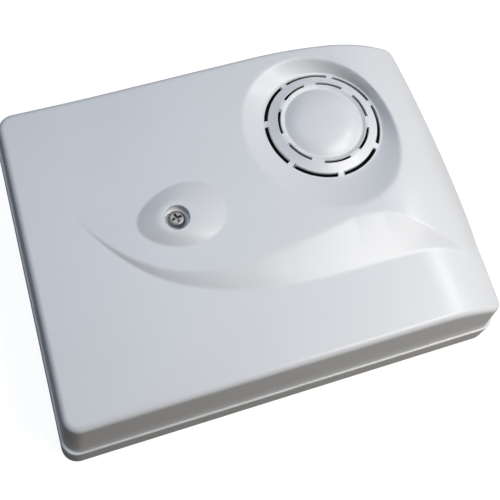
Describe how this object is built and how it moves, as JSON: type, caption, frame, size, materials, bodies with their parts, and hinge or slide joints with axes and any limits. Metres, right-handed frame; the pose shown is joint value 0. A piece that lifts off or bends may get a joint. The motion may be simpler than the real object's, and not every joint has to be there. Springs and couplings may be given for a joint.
{
  "type": "indoor alarm siren",
  "caption": "Shallow wall-mounted indoor alarm siren: sculpted one-screw cover with an oval dish and ringed sound slots round a dome, over a wider drafted back box.",
  "frame": {"origin": "middle of the back face, on the wall", "axes": "+Z out of the wall through the cover, +X along the long side towards the bulged end, +Y up the cover as mounted"},
  "size_m": [0.1861, 0.1436, 0.0363],
  "materials": {
    "cover_plastic": "fine matt moulded",
    "screw_steel": "zinc plated",
    "plated_steel": "zinc plated",
    "black_cloth": "woven",
    "foam": "matt foam",
    "paper_cone": "matt paper",
    "copper": "lacquered",
    "ferrite": "matt",
    "board_laminate": "satin solder mask",
    "terminal_plastic": "satin",
    "dark_sleeve": "gloss",
    "black_resin": "matt",
    "sink_aluminium": "satin",
    "resistor_lacquer": "gloss",
    "battery_sleeve": "gloss"
  },
  "bodies": {
    "root": {"back_box": "cover_plastic", "battery_pack": "battery_sleeve", "battery_socket": "cover_plastic", "battery_strap": "plated_steel", "board_screws": "screw_steel", "charge_diodes": "black_resin", "circuit_board": "board_laminate", "clip_screws": "screw_steel", "controller_chip": "black_resin", "cover_screw": "screw_steel", "crystal": "plated_steel", "driver_transistor": "black_resin", "dust_cloth": "black_cloth", "front_cover": "cover_plastic", "heat_sink": "sink_aluminium", "resistors": "resistor_lacquer", "small_capacitors": "dark_sleeve", "speaker_basket": "plated_steel", "speaker_clips": "plated_steel", "speaker_cone": "paper_cone", "speaker_dome": "paper_cone", "speaker_gasket": "foam", "speaker_magnet": "ferrite", "speaker_socket": "cover_plastic", "speaker_top_plate": "plated_steel", "speaker_yoke": "plated_steel", "strap_screws": "screw_steel", "supply_capacitor": "dark_sleeve", "tamper_body": "black_resin", "tamper_plunger": "cover_plastic", "terminal_block": "terminal_plastic", "terminal_screws": "screw_steel", "tone_header": "black_resin", "tone_link": "black_resin", "voice_coil": "copper"}
  },
  "joints": []
}
